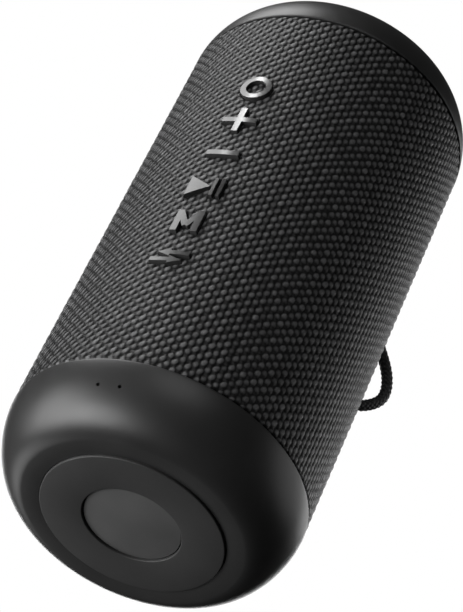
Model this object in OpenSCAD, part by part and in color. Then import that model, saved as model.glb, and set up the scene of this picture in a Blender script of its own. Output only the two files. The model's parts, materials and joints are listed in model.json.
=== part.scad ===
// Portable speaker: an upright cylinder in a woven sleeve, with rounded end caps, six symbol buttons
// down its front, a cord loop at the back right and a covered port recess at the rear.
// The origin is the centre of the foot ring's lower face. +Z is up and the buttons face -Y.

/* [Body] */
// Diameter over the fabric
body_d = 85; // [85:0.5:88]
// Overall height, standing on the foot ring
body_h = 178.5; // [178:0.5:184]
// Height of the bottom cap, from the ground to the fabric's edge
bottom_cap_h = 19; // [19:0.5:20]
// Height of the top cap, from the fabric's edge to the top ring's face
top_cap_h = 17.5; // [17:0.5:18]
// Radius of the flat face at each end
end_face_r = 31; // [30:0.5:32]
// Exponent of the caps' rounded edge, where 2 is an ellipse
cap_round_n = 1.8; // [1.7:0.05:2]
// Outer radius of the foot ring and the top ring
ring_r = 25.9; // [25:0.1:26.5]
// Inner radius of the foot ring and the top ring
ring_bore_r = 13.9; // [13:0.1:15]
// How far the rings stand off the caps' faces
ring_proud = 0.7; // [0.5:0.1:0.9]

/* [Buttons] */
// Height of the lowest button's centre
first_key_z = 57.3; // [56.5:0.1:58.5]
// Distance between button centres
key_pitch = 14; // [14:0.1:14.4]
// How far a button's symbol stands off the fabric
key_proud = 0.9; // [0.7:0.1:1.3]
// How far a button travels
key_travel = 0.5; // [0.3:0.05:0.5]

/* [Strap] */
// Diameter of the strap's cord
cord_d = 3.4; // [3:0.1:3.5]
// Angle of the strap round the body, from the front towards +X
strap_angle = 135; // [133:1:137]

/* [Sound] */
// Height of the two loudspeakers' axis
driver_z = 124; // [123:1:126]
// Height of the two passive radiators' axis
passive_z = 60; // [58:1:61]

/* [Ports] */
// Height of the two sockets' axis
port_z = 40; // [39:0.5:41]
// Distance of each socket from the middle
port_x = 6.2; // [6:0.1:6.5]

/* [Hidden] */
$fn = 96;

// Shells, from the outside in
sleeve_r = body_d / 2;
sleeve_t = 1.2;
sleeve_gap = 0.3;
tube_r = sleeve_r - 1.3;
tube_t = 1.8;
tube_in_r = tube_r - tube_t;
seam_low = bottom_cap_h;
seam_high = body_h - top_cap_h;

// Caps
cap_spigot_h = 4.5;
cap_spigot_t = 2;
cap_spigot_r = tube_in_r - 0.2;
cap_floor = 4;
cap_lip = 0.2;
cap_steps = 16;
ring_t = 2.2;
ring_gap = 0.15;
post_r = 3.5;
post_at = 20;

// Core
core_r = 36.5;
core_x = 27;
core_y = 28;
core_t = 2;
core_low = 17.3;
core_high = body_h - 16.5;
seal_t = 0.8;
cover_t = 2.5;

// Buttons, counted from the bottom: link, mode, play, minus, plus, power
flange_r = tube_in_r - 0.2;
flange_t = 1;
boss_r = tube_r - 0.1;
symbol_r = sleeve_r + key_proud;
stem_r = 2;
slot_gap = 0.2;
stroke = 1.8;
power_r = 4.55;
power_bore_r = 2.9;

// Button board, on the core's front face
board_t = 1.6;
board_y = core_y + 1.4;
board_face = board_y + board_t;
housing_t = 0.95;
plunger_r = 1;
plunger_y = board_face + 1.5;
plunger_in = board_face + key_travel + 0.05;
running_gap = 0.05;

// Main board, on the core's rear face
main_y = core_y + 2;
main_face = main_y + board_t;

// Loudspeakers and passive radiators, measured outwards from the body's axis
seat = core_x;
frame_in = seat + 0.6;
frame_ledge = frame_in + 1.6;
frame_out = frame_in + 2;
frame_r = 23;
opening_r = 19.8;
pinhole_x = [-2.8, 3.3];
pinhole_z = 11;
screw_at = 21.4;
cone_r = 16.5;
coil_r = 8;
plate_r = 12.8;

// Port recess
bezel_w = 30;
bezel_h = 18;
bezel_r = sleeve_r + 0.4;
bezel_floor = sleeve_r - 3.5;
cover_r = sleeve_r + 0.2;
cover_w = 25.6;
cover_low = port_z - 5.8;
cover_high = port_z + 5.6;
cover_skin = 1;
plug_inset = 1.4;
hinge_y = sleeve_r + 0.5;
hinge_z = port_z - 7;
knuckle_r = 0.9;
pin_r = 0.4;

// Strap: distance outside the fabric and height of each point along the cord, chosen by hand.
// The first and last stretches are straight, through the eyelets and into the anchor.
strap_route = [
    [-4, 108.2], [0.6, 102.6], [2.6, 100.2], [4.6, 97.6], [6.2, 94.9], [7.3, 92],
    [7.75, 89.2], [7.5, 86.6], [6.3, 84], [4.2, 81.4], [1.6, 79.4], [-4, 76.8]
];
strap_ends = [[strap_route[0], strap_route[1]], [strap_route[11], strap_route[10]]];
strap_holes = [[104.5, 10.4], [78.5, 7.6]];
strap_hole_w = 5;
anchor_r = core_r + 0.4;
anchor_t = 2.2;

// ---------- shared shapes ----------

module ring(r_out, r_in, z0, z1) {
    translate([0, 0, z0])
        difference() {
            cylinder(r = r_out, h = z1 - z0);
            translate([0, 0, -1]) cylinder(r = r_in, h = z1 - z0 + 2);
        }
}

// A rectangle with chamfered corners
module chamfered(w, h, c) {
    polygon([
        [-w / 2 + c, -h / 2], [w / 2 - c, -h / 2], [w / 2, -h / 2 + c], [w / 2, h / 2 - c],
        [w / 2 - c, h / 2], [-w / 2 + c, h / 2], [-w / 2, h / 2 - c], [-w / 2, -h / 2 + c]
    ]);
}

// Extrudes an outline through the front, between two distances from the body's axis
module on_front(z, y0, y1) {
    translate([0, -y0, z]) rotate([90, 0, 0]) linear_extrude(y1 - y0) children();
}

module on_rear(z, y0, y1) {
    translate([0, y1, z]) rotate([90, 0, 0]) linear_extrude(y1 - y0) children();
}

// Puts children, drawn up the Z axis, along +X (side 1) or -X (side -1) at a height
module sideways(z, side) {
    translate([0, 0, z]) rotate([0, 90 * side, 0]) children();
}

// Puts children, drawn up the Z axis, radially outwards at the strap's angle
module at_strap(z) {
    translate([0, 0, z]) rotate([0, 0, strap_angle - 90]) rotate([0, 90, 0]) children();
}

// ---------- button symbols, seen from the front; grow widens them for the fabric's cut-outs ----------

module bar(p, q, w, grow) {
    d = q - p;
    translate(p)
        rotate([0, 0, atan2(d[1], d[0])])
            translate([-grow, -w / 2 - grow]) square([norm(d) + 2 * grow, w + 2 * grow]);
}

// An isosceles triangle that points along +X
module arrow_head(x0, x1, half, grow) {
    slant = norm([x1 - x0, half]);
    base = (half * (x1 - x0 + grow) + grow * slant) / (x1 - x0);
    polygon([[x0 - grow, -base], [x1 + grow * slant / half, 0], [x0 - grow, base]]);
}

module link_symbol(grow) {
    for (turn = [0, 180])
        rotate([0, 0, turn])
            translate([0, -1.35]) {
                bar([-5.3, 0], [0.3, 0], 1.35, grow);
                arrow_head(0.1, 3.8, 1.45, grow);
            }
}

module mode_symbol(grow) {
    for (side = [-1, 1]) {
        bar([side * 2.95, -4], [side * 2.95, 4], 1.9, grow);
        bar([side * 2.7, 3.1], [0, -1.9], stroke, grow);
    }
}

module play_symbol(grow) {
    arrow_head(-5.1, 1.5, 3.8, grow);
    for (x = [2.5, 4.6]) bar([x, -3.5], [x, 3.5], 0.95, grow);
}

module minus_symbol(grow) {
    bar([-4.8, 0], [4.8, 0], stroke, grow);
}

module plus_symbol(grow) {
    bar([-5.1, 0], [5.1, 0], stroke, grow);
    bar([0, -4.85], [0, 4.85], stroke, grow);
}

module power_symbol(grow) {
    difference() {
        circle(r = power_r + grow);
        if (grow == 0) circle(r = power_bore_r);
    }
}

module symbol(i, grow) {
    if (i == 0) link_symbol(grow);
    if (i == 1) mode_symbol(grow);
    if (i == 2) play_symbol(grow);
    if (i == 3) minus_symbol(grow);
    if (i == 4) plus_symbol(grow);
    if (i == 5) power_symbol(grow);
}

function key_z(i) = first_key_z + i * key_pitch;

// ---------- outer shell ----------

// The two oblong holes that the strap's eyelets sit in; grow widens them all round
module at_strap_holes(r0, r1, grow) {
    for (hole = strap_holes)
        at_strap(hole[0])
            translate([0, 0, r0])
                linear_extrude(r1 - r0)
                    chamfered(hole[1] + 2 * grow, strap_hole_w + 2 * grow, 1.6 + grow / 2);
}

module fabric_sleeve() {
    color("#2b2b2b")
        difference() {
            ring(sleeve_r, sleeve_r - sleeve_t, seam_low + sleeve_gap, seam_high - sleeve_gap);
            for (i = [0:5]) on_front(key_z(i), tube_in_r, sleeve_r + 2) symbol(i, slot_gap);
            on_rear(port_z - 1.5, tube_in_r - 6, sleeve_r + 2) chamfered(bezel_w + 0.3, bezel_h + 0.3, 3);
            at_strap_holes(core_r, sleeve_r + 2, 0.15);
        }
}

module grille_tube() {
    color("#202020")
        difference() {
            ring(tube_r, tube_in_r, seam_low, seam_high);
            for (i = [0:5]) on_front(key_z(i), tube_in_r - 2, tube_r + 2) chamfered(12.9, 10.5, 2);
            on_rear(port_z - 1.5, tube_in_r - 6, tube_r + 2) chamfered(bezel_w + 0.3, bezel_h + 0.3, 3);
            at_strap_holes(core_r, sleeve_r + 2, 0.15);
            for (a = [-36:18:36], side = [0, 180], z = [passive_z, driver_z], row = [-2:2])
                rotate([0, 0, side + a])
                    translate([tube_in_r - 3, -2, z + row * 9 - 3]) cube([8, 4, 6]);
        }
}

// A cap with its outer face near z = 0 and its rim upwards
module cap(h, cover_at) {
    face = ring_proud;
    round_h = h - face - cap_lip;
    in_r = cap_spigot_r - cap_spigot_t;
    in_face_r = end_face_r - 2.5;
    in_h = h - cap_floor - 2;
    e = 2 / cap_round_n;
    outer = [
        for (k = [0:cap_steps])
            let (t = 90 - 90 * k / cap_steps)
            [end_face_r + (sleeve_r - end_face_r) * pow(cos(t), e), face + round_h * (1 - pow(sin(t), e))]
    ];
    inner = [
        for (k = [0:cap_steps])
            let (t = 90 * k / cap_steps)
            [in_face_r + (in_r - in_face_r) * pow(cos(t), e), cap_floor + in_h * (1 - pow(sin(t), e))]
    ];
    difference() {
        union() {
            rotate_extrude()
                polygon(concat(
                    [[ring_r + ring_gap, face]],
                    outer,
                    [[sleeve_r, h], [cap_spigot_r, h]],
                    [[cap_spigot_r, h + cap_spigot_h], [in_r, h + cap_spigot_h]],
                    inner,
                    [[0, cap_floor], [0, ring_t], [ring_r + ring_gap, ring_t]]
                ));
            for (a = [45:90:315])
                rotate([0, 0, a])
                    translate([post_at, 0, cap_floor - 0.5])
                        cylinder(r = post_r, h = cover_at - cap_floor + 0.5);
        }
        for (a = [45:90:315])
            rotate([0, 0, a])
                translate([post_at, 0, 0]) {
                    translate([0, 0, -1]) cylinder(r = 1.3, h = cover_at + 2);
                    translate([0, 0, ring_t - 1]) cylinder(r = 2.4, h = 3);
                }
    }
}

module bottom_cap() {
    color("#1d1d1d")
        difference() {
            union() {
                cap(bottom_cap_h, core_low - seal_t - cover_t);
                translate([-6, -34, cap_floor - 0.5]) cube([12, 3.4, 3.3]);
            }
            for (x = pinhole_x)
                translate([x, -30, pinhole_z]) rotate([90, 0, 0]) cylinder(r = 0.5, h = 15);
        }
}

module top_cap() {
    color("#1d1d1d")
        translate([0, 0, body_h])
            mirror([0, 0, 1])
                cap(top_cap_h, body_h - core_high - seal_t - cover_t);
}

module foot_ring() {
    color("#343434") ring(ring_r, ring_bore_r, 0, ring_t);
}

module base_disc() {
    color("#454545")
        translate([0, 0, ring_proud]) cylinder(r = ring_bore_r - ring_gap, h = ring_t - ring_proud);
}

module top_ring() {
    color("#343434") ring(ring_r, ring_bore_r, body_h - ring_t, body_h);
}

module top_disc() {
    color("#454545")
        translate([0, 0, body_h - ring_t]) cylinder(r = ring_bore_r - ring_gap, h = ring_t - ring_proud);
}

// ---------- buttons ----------

module key(i) {
    color("#5a5a5a") {
        intersection() {
            on_front(key_z(i), flange_r - 4, sleeve_r) chamfered(13.6, 12.5, 2);
            ring(flange_r, flange_r - flange_t, 0, body_h);
        }
        intersection() {
            on_front(key_z(i), flange_r - 4, sleeve_r) chamfered(12.4, 10, 2);
            ring(boss_r, flange_r - 0.5, 0, body_h);
        }
        intersection() {
            on_front(key_z(i), flange_r, sleeve_r + 4) symbol(i, 0);
            ring(symbol_r, boss_r - 0.3, 0, body_h);
        }
        on_front(key_z(i), plunger_y, flange_r - 0.6) circle(r = stem_r);
    }
}

module link_key() { key(0); }

module mode_key() { key(1); }

module play_key() { key(2); }

module minus_key() { key(3); }

module plus_key() { key(4); }

module power_key() { key(5); }

// A disc of the same cloth inside the power symbol, glued to the key
module power_key_patch() {
    color("#2b2b2b")
        intersection() {
            on_front(key_z(5), flange_r, sleeve_r + 4) circle(r = power_bore_r - 0.1);
            ring(sleeve_r, boss_r + 0.05, 0, body_h);
        }
}

module plunger(i) {
    color("#d8d4c8") on_front(key_z(i), plunger_in, plunger_y) circle(r = plunger_r);
}

module link_plunger() { plunger(0); }

module mode_plunger() { plunger(1); }

module play_plunger() { plunger(2); }

module minus_plunger() { plunger(3); }

module plus_plunger() { plunger(4); }

module power_plunger() { plunger(5); }

module switch_housings() {
    color("#b9b9b9")
        for (i = [0:5])
            on_front(key_z(i), board_face, board_face + housing_t)
                difference() {
                    square([4.5, 4.5], center = true);
                    circle(r = plunger_r + running_gap);
                }
}

board_low = first_key_z - 11;
board_high = first_key_z + 5 * key_pitch + 11;
board_screw_z = [board_low + 4, board_high - 4];
main_low = 28;
main_high = 108;
main_screw_z = [main_low + 22, main_high - 4];

module button_board() {
    color("#1f5a35")
        difference() {
            translate([-9, -board_face, board_low]) cube([18, board_t, board_high - board_low]);
            for (x = [-6.5, 6.5], z = board_screw_z)
                on_front(z, core_y, board_face + 1) translate([x, 0]) circle(r = 0.9);
        }
}

module main_board() {
    color("#1f5a35")
        difference() {
            translate([-19, main_y, main_low]) cube([38, board_t, main_high - main_low]);
            for (x = [-15, 15], z = main_screw_z)
                on_rear(z, core_y, main_face + 1) translate([x, 0]) circle(r = 0.9);
        }
}

module board_screws() {
    color("#c0c0c0") {
        for (x = [-6.5, 6.5], z = board_screw_z) {
            on_front(z, core_y - 0.8, board_face + 0.4) translate([x, 0]) circle(r = 0.8);
            on_front(z, board_face, board_face + 0.9) translate([x, 0]) circle(r = 1.5);
        }
        for (x = [-15, 15], z = main_screw_z) {
            on_rear(z, core_y - 0.8, main_face + 0.4) translate([x, 0]) circle(r = 0.8);
            on_rear(z, main_face, main_face + 0.9) translate([x, 0]) circle(r = 1.5);
        }
    }
}

// The amplifier, radio, charger, memory, coil and the two ribbon connectors
module main_board_chips() {
    color("#2a2a2c") {
        translate([-4, main_face, 84]) cube([9, 1, 9]);
        translate([3, main_face, 60]) cube([7, 1, 7]);
        translate([-13, main_face, 58]) cube([12, 2.4, 14]);
        translate([9, main_face, 74]) cube([6, 0.9, 5]);
        translate([7, main_face, 92]) cube([6, 3, 6]);
        translate([-17, main_face, 87]) cube([5, 1.6, 10]);
        translate([-9, -board_face - 1.5, 88]) cube([4, 1.5, 8]);
    }
}

// Flat cable round the left side, from the button board to the main board
module button_ribbon() {
    ribbon_r = 37.3;
    ribbon_t = 0.3;
    mid = board_face + 0.75;
    color("#c8a24a")
        translate([0, 0, 89])
            linear_extrude(6) {
                intersection() {
                    difference() {
                        circle(r = ribbon_r + ribbon_t);
                        circle(r = ribbon_r);
                    }
                    polygon([[0, 0], [-20, -44], [-60, -44], [-60, 60], [-35, 60]]);
                }
                polygon([[-9.1, -mid], [-9.1, -mid - ribbon_t], [-16.2, -33.95], [-16.1, -33.66]]);
                polygon([[-17.1, 32.6], [-17.1, 32.9], [-19.2, 32.2], [-19.2, 32.05]]);
            }
}

module led_board() {
    color("#1f5a35") {
        translate([-5, -32.6, cap_floor + 2.8]) cube([10, 1.2, 6]);
        for (x = pinhole_x) translate([x, -32.5, pinhole_z]) rotate([90, 0, 0]) cylinder(r = 1, h = 1.2);
    }
}

// ---------- strap ----------

strap_er = [sin(strap_angle), -cos(strap_angle)];
strap_et = [cos(strap_angle), sin(strap_angle)];

// The direction of travel at point i, as distance from the axis and height
function strap_step(i) =
    strap_route[min(i + 1, len(strap_route) - 1)] - strap_route[max(i - 1, 0)];

function strap_ring(i, sides) =
    let (
        p = strap_route[i],
        t = strap_step(i) / norm(strap_step(i))
    )
    [
        for (k = [0:sides - 1])
            let (
                across = cord_d / 2 * cos(360 * k / sides),
                aside = cord_d / 2 * sin(360 * k / sides),
                r = sleeve_r + p[0] - across * t[1],
                xy = r * strap_er + aside * strap_et
            )
            [xy[0], xy[1], p[1] + across * t[0]]
    ];

module strap_loop() {
    sides = 8;
    n = len(strap_route);
    points = [for (i = [0:n - 1]) each strap_ring(i, sides)];
    walls = [
        for (i = [0:n - 2], k = [0:sides - 1])
            let (
                a = i * sides + k,
                b = i * sides + (k + 1) % sides
            )
            [a, b, b + sides, a + sides]
    ];
    first = [for (k = [sides - 1:-1:0]) k];
    last = [for (k = [0:sides - 1]) (n - 1) * sides + k];
    color("#1a1a1a") polyhedron(points = points, faces = concat(walls, [first, last]));
}

// A bore along the cord's straight stretch from one route point towards the next
module strap_bore(p, q) {
    d = q - p;
    at_strap(p[1])
        translate([0, 0, sleeve_r + p[0]])
            rotate([0, atan2(-d[1], d[0]), 0])
                translate([0, 0, -2]) cylinder(r = cord_d / 2 + 0.12, h = norm(d) + 8);
}

// Moulded eyelets that line the holes, each with a flange on the fabric
module strap_eyelets() {
    color("#8a8a8a")
        difference() {
            union() {
                intersection() {
                    at_strap_holes(core_r, sleeve_r + 2, 0);
                    ring(sleeve_r + 0.5, tube_in_r + 0.2, 0, body_h);
                }
                intersection() {
                    at_strap_holes(core_r, sleeve_r + 2, 0.9);
                    ring(sleeve_r + 0.8, sleeve_r + 0.15, 0, body_h);
                }
            }
            for (end = strap_ends) strap_bore(end[0], end[1]);
        }
}

// The plate inside the grille tube that both ends of the cord are moulded into
module strap_anchor() {
    low = strap_route[11][1] - 5;
    high = strap_route[0][1] + 5;
    color("#262626")
        rotate([0, 0, strap_angle - 90])
            translate([anchor_r, -4, low]) cube([anchor_t, 8, high - low]);
}

// ---------- rear ports ----------

module port_bezel() {
    color("#232323")
        difference() {
            union() {
                difference() {
                    intersection() {
                        on_rear(port_z - 1.5, bezel_floor - 2.5, bezel_r + 1) chamfered(bezel_w, bezel_h, 3);
                        cylinder(r = bezel_r, h = body_h);
                    }
                    on_rear(port_z - 1, bezel_floor, bezel_r + 2) chamfered(cover_w + 0.6, 14, 1.5);
                }
                for (side = [-1, 1])
                    translate([side * 6.9 - 1.6, 0, 0]) {
                        translate([0, hinge_y, hinge_z]) rotate([0, 90, 0]) cylinder(r = knuckle_r, h = 3.2);
                        translate([0, hinge_y - 2.5, hinge_z - 1.3]) cube([3.2, 2.5, 1.3]);
                    }
            }
            translate([-12, hinge_y, hinge_z]) rotate([0, 90, 0]) cylinder(r = pin_r + 0.02, h = 24);
            on_rear(port_z, bezel_floor - 5, bezel_floor + 1) {
                translate([-port_x, 0]) chamfered(9.5, 3.8, 1.2);
                translate([port_x, 0]) circle(r = 3.1);
            }
        }
}

module port_cover() {
    color("#1f1f1f")
        difference() {
            union() {
                intersection() {
                    on_rear((cover_low + cover_high) / 2, bezel_floor - 1, cover_r + 1)
                        chamfered(cover_w, cover_high - cover_low, 1.2);
                    ring(cover_r, cover_r - cover_skin, 0, body_h);
                }
                intersection() {
                    on_rear((cover_low + cover_high) / 2 - 0.3, bezel_floor + 0.3, cover_r + 1)
                        chamfered(cover_w - 2 * plug_inset, cover_high - cover_low - 2 * plug_inset, 1.2);
                    cylinder(r = cover_r - cover_skin + 0.2, h = body_h);
                }
                translate([-5, hinge_y - knuckle_r, hinge_z])
                    cube([10, knuckle_r, cover_low - hinge_z + 0.2]);
                translate([-5, hinge_y, hinge_z]) rotate([0, 90, 0]) cylinder(r = knuckle_r, h = 10);
            }
            translate([-12, hinge_y, hinge_z]) rotate([0, 90, 0]) cylinder(r = pin_r + running_gap, h = 24);
        }
}

module port_hinge_pin() {
    color("#b0b0b0") translate([-8.4, hinge_y, hinge_z]) rotate([0, 90, 0]) cylinder(r = pin_r, h = 16.8);
}

module usb_c_socket() {
    color("#b8b8b8")
        on_rear(port_z, main_face, bezel_floor - 0.2)
            translate([-port_x, 0])
                difference() {
                    chamfered(8.9, 3.3, 1);
                    chamfered(8.2, 2.6, 0.8);
                }
    color("#303030")
        on_rear(port_z, main_face, bezel_floor - 1.2)
            translate([-port_x, 0]) square([8.3, 0.7], center = true);
}

module aux_jack() {
    color("#303030")
        difference() {
            union() {
                translate([port_x - 3.4, main_face, port_z - 3.4]) cube([6.8, 4, 6.8]);
                on_rear(port_z, main_face + 2, bezel_floor - 0.2) translate([port_x, 0]) circle(r = 2.9);
            }
            on_rear(port_z, main_face + 0.8, sleeve_r) translate([port_x, 0]) circle(r = 1.8);
        }
}

// ---------- core ----------

module core_outline(inset) {
    intersection() {
        circle(r = core_r - inset);
        square([2 * (core_x - inset), 2 * (core_y - inset)], center = true);
    }
}

module core_wall(z0, z1) {
    translate([0, 0, z0])
        linear_extrude(z1 - z0)
            difference() {
                core_outline(0);
                core_outline(core_t);
            }
}

// Where the loudspeakers and passive radiators are screwed on
module side_screws(r, x0, x1) {
    for (z = [driver_z, passive_z], side = [-1, 1], a = [45:90:315])
        sideways(z, side) rotate([0, 0, a]) translate([screw_at, 0, x0]) cylinder(r = r, h = x1 - x0);
}

module core_tube() {
    color("#2e2e2e")
        difference() {
            union() {
                core_wall(core_low, core_high);
                for (x = [-6.5, 6.5], z = board_screw_z)
                    on_front(z, core_y - 0.5, board_y) translate([x, 0]) circle(r = 2.4);
                for (x = [-15, 15], z = main_screw_z)
                    on_rear(z, core_y - 0.5, main_y) translate([x, 0]) circle(r = 2.4);
            }
            for (z = [driver_z, passive_z], side = [-1, 1])
                sideways(z, side) translate([0, 0, core_x - 6]) cylinder(r = opening_r, h = 12);
            side_screws(0.95, core_x - 1.7, core_x + 1);
            for (x = [-6.5, 6.5], z = board_screw_z)
                on_front(z, core_y - 1, board_y + 1) translate([x, 0]) circle(r = 0.85);
            for (x = [-15, 15], z = main_screw_z)
                on_rear(z, core_y - 1, main_y + 1) translate([x, 0]) circle(r = 0.85);
        }
}

module core_cover(z0) {
    difference() {
        translate([0, 0, z0]) linear_extrude(cover_t) core_outline(0);
        for (a = [45:90:315])
            rotate([0, 0, a]) translate([post_at, 0, z0 - 1]) cylinder(r = 1.3, h = cover_t + 2);
    }
}

module core_bottom_cover() {
    color("#2e2e2e") core_cover(core_low - seal_t - cover_t);
}

module core_top_cover() {
    color("#2e2e2e") core_cover(core_high + seal_t);
}

module core_gaskets() {
    color("#101010") {
        core_wall(core_low - seal_t, core_low);
        core_wall(core_high, core_high + seal_t);
    }
}

// Four screws, drawn with the heads' faces down; grip is where the thread ends
module cap_screws(grip) {
    for (a = [45:90:315])
        rotate([0, 0, a])
            translate([post_at, 0, 0]) {
                translate([0, 0, ring_t + 0.3]) cylinder(r = 2.2, h = 1.7);
                translate([0, 0, ring_t + 1]) cylinder(r = 1.25, h = grip - ring_t - 1);
            }
}

module base_screws() {
    color("#c0c0c0") cap_screws(core_low - seal_t - 0.2);
}

module top_screws() {
    color("#c0c0c0")
        translate([0, 0, body_h]) mirror([0, 0, 1]) cap_screws(body_h - core_high - seal_t - 0.2);
}

// ---------- loudspeakers and passive radiators ----------

// The ring that both kinds are screwed down by, with a ledge for the surround's lip
module flange(inner_r) {
    rotate_extrude()
        polygon([
            [inner_r, frame_in], [frame_r, frame_in], [frame_r, frame_out],
            [opening_r + 0.05, frame_out], [opening_r + 0.05, frame_ledge], [inner_r, frame_ledge]
        ]);
}

module flange_holes() {
    for (a = [45:90:315])
        rotate([0, 0, a]) translate([screw_at, 0, frame_in - 1]) cylinder(r = 1, h = 4);
}

// A half roll of rubber between two radii, with a lip outside that sits on the flange's ledge
module surround(r0, r1) {
    mid = (r0 + r1) / 2;
    out = (r1 - r0) / 2;
    t = 0.4;
    rotate_extrude()
        polygon(concat(
            [for (a = [180:-15:15]) [mid + out * cos(a), frame_ledge + out * sin(a)]],
            [[r1, frame_ledge + t], [opening_r - 0.05, frame_ledge + t], [opening_r - 0.05, frame_ledge]],
            [for (a = [0:15:180]) [mid + (out - t) * cos(a), frame_ledge + (out - t) * sin(a)]]
        ));
}

module driver_baskets() {
    color("#3a3a3d")
        for (side = [-1, 1])
            sideways(driver_z, side)
                difference() {
                    union() {
                        flange(17.8);
                        ring(19.4, 17.8, 14, frame_in + 0.5);
                        ring(19.4, 9.5, 13, 14.5);
                    }
                    flange_holes();
                    for (a = [0:90:270])
                        rotate([0, 0, a]) translate([12, -6, 17.5]) cube([12, 12, 8]);
                }
}

module driver_pole_plates() {
    color("#9a9a9a") for (side = [-1, 1]) sideways(driver_z, side) ring(14, coil_r + 0.4, 11, 13);
}

module driver_magnets() {
    color("#4a4a4a") for (side = [-1, 1]) sideways(driver_z, side) ring(14, 9.5, 5, 11);
}

module driver_yokes() {
    color("#9a9a9a")
        for (side = [-1, 1])
            sideways(driver_z, side) {
                translate([0, 0, 3]) cylinder(r = 14, h = 2);
                translate([0, 0, 4.5]) cylinder(r = coil_r - 0.8, h = 8.3);
            }
}

// Corrugated cloth that centres the voice coil
module driver_spiders() {
    r0 = coil_r + 0.15;
    r1 = 17.7;
    waves = 4;
    steps = 32;
    wave = [for (k = [0:steps]) [r0 + (r1 - r0) * k / steps, 16 + 0.5 * sin(360 * waves * k / steps)]];
    color("#c8b070")
        for (side = [-1, 1])
            sideways(driver_z, side)
                rotate_extrude()
                    polygon(concat(wave, [for (k = [steps:-1:0]) wave[k] + [0, 0.35]]));
}

module driver_surrounds() {
    color("#141414") for (side = [-1, 1]) sideways(driver_z, side) surround(cone_r + 0.2, 19.3);
}

module driver_cone(side) {
    color("#303030")
        sideways(driver_z, side)
            rotate_extrude()
                polygon([
                    [cone_r, frame_out], [cone_r, frame_out - 0.6], [coil_r, 19.4], [coil_r, 9.5],
                    [coil_r - 0.35, 9.5], [coil_r - 0.35, 21.5],
                    [4.5, 23.2], [0, 23.8], [0, 24.3], [4.6, 23.7],
                    [coil_r, 21.9], [coil_r + 0.4, 20.6], [cone_r - 0.6, frame_out]
                ]);
}

module right_driver_cone() { driver_cone(1); }

module left_driver_cone() { driver_cone(-1); }

module driver_gaskets() {
    color("#101010")
        for (z = [driver_z, passive_z], side = [-1, 1])
            sideways(z, side)
                difference() {
                    ring(frame_r, opening_r, seat, frame_in);
                    flange_holes();
                }
}

module driver_screws() {
    color("#c0c0c0") {
        side_screws(0.9, core_x - 1.5, frame_out + 0.3);
        side_screws(1.4, frame_out, frame_out + 0.8);
    }
}

module passive_frames() {
    color("#3a3a3d")
        for (side = [-1, 1])
            sideways(passive_z, side)
                difference() {
                    flange(18.4);
                    flange_holes();
                }
}

module passive_surrounds() {
    color("#141414") for (side = [-1, 1]) sideways(passive_z, side) surround(plate_r + 0.2, 19.3);
}

module passive_plate(side) {
    color("#4a4a4a")
        sideways(passive_z, side) {
            translate([0, 0, frame_out - 1]) cylinder(r = plate_r, h = 1.6);
            translate([0, 0, frame_out - 4.6]) cylinder(r = 9, h = 4);
        }
}

module right_passive_plate() { passive_plate(1); }

module left_passive_plate() { passive_plate(-1); }

// ---------- battery ----------

cell_r = 9.2;
cell_h = 65.2;
cell_z = 24;
cell_y = 9.7;

module battery_cells() {
    color("#2f6fa8")
        for (side = [-1, 1])
            translate([0, side * cell_y, cell_z]) cylinder(r = cell_r, h = cell_h);
}

module battery_holder() {
    low = core_low - seal_t;
    high = cell_z + cell_h + 2;
    color("#3c3c3c")
        difference() {
            translate([-10.5, -20.2, low]) cube([21, 40.4, high - low]);
            for (side = [-1, 1])
                translate([0, side * cell_y, cell_z]) cylinder(r = cell_r + 0.15, h = cell_h);
            for (side = [-1, 1])
                translate([-11, side * 13 - 9, cell_z + 8]) cube([22, 18, cell_h - 16]);
        }
}

fabric_sleeve();
grille_tube();
bottom_cap();
top_cap();
foot_ring();
base_disc();
top_ring();
top_disc();
power_key();
power_key_patch();
plus_key();
minus_key();
play_key();
mode_key();
link_key();
power_plunger();
plus_plunger();
minus_plunger();
play_plunger();
mode_plunger();
link_plunger();
switch_housings();
button_board();
board_screws();
button_ribbon();
strap_loop();
strap_eyelets();
strap_anchor();
port_bezel();
port_cover();
port_hinge_pin();
usb_c_socket();
aux_jack();
main_board();
main_board_chips();
led_board();
core_tube();
core_bottom_cover();
core_top_cover();
core_gaskets();
base_screws();
top_screws();
driver_baskets();
driver_pole_plates();
driver_magnets();
driver_yokes();
driver_spiders();
driver_surrounds();
right_driver_cone();
left_driver_cone();
driver_gaskets();
driver_screws();
passive_frames();
passive_surrounds();
right_passive_plate();
left_passive_plate();
battery_cells();
battery_holder();
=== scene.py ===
"""Portable speaker: a woven sleeve between two rounded caps, with raised symbol buttons down the front.

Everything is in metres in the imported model's frame: +Z up, buttons towards -Y, the foot ring's face at z = 0.
Most sizes that the CAD fixes are read from its nodes' boxes. The named values are for what only the
looks need, and for the few CAD values that are repeated here.
"""

import json
import math

import bmesh
import bpy
import numpy as np
from mathutils import Matrix, Vector


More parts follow.
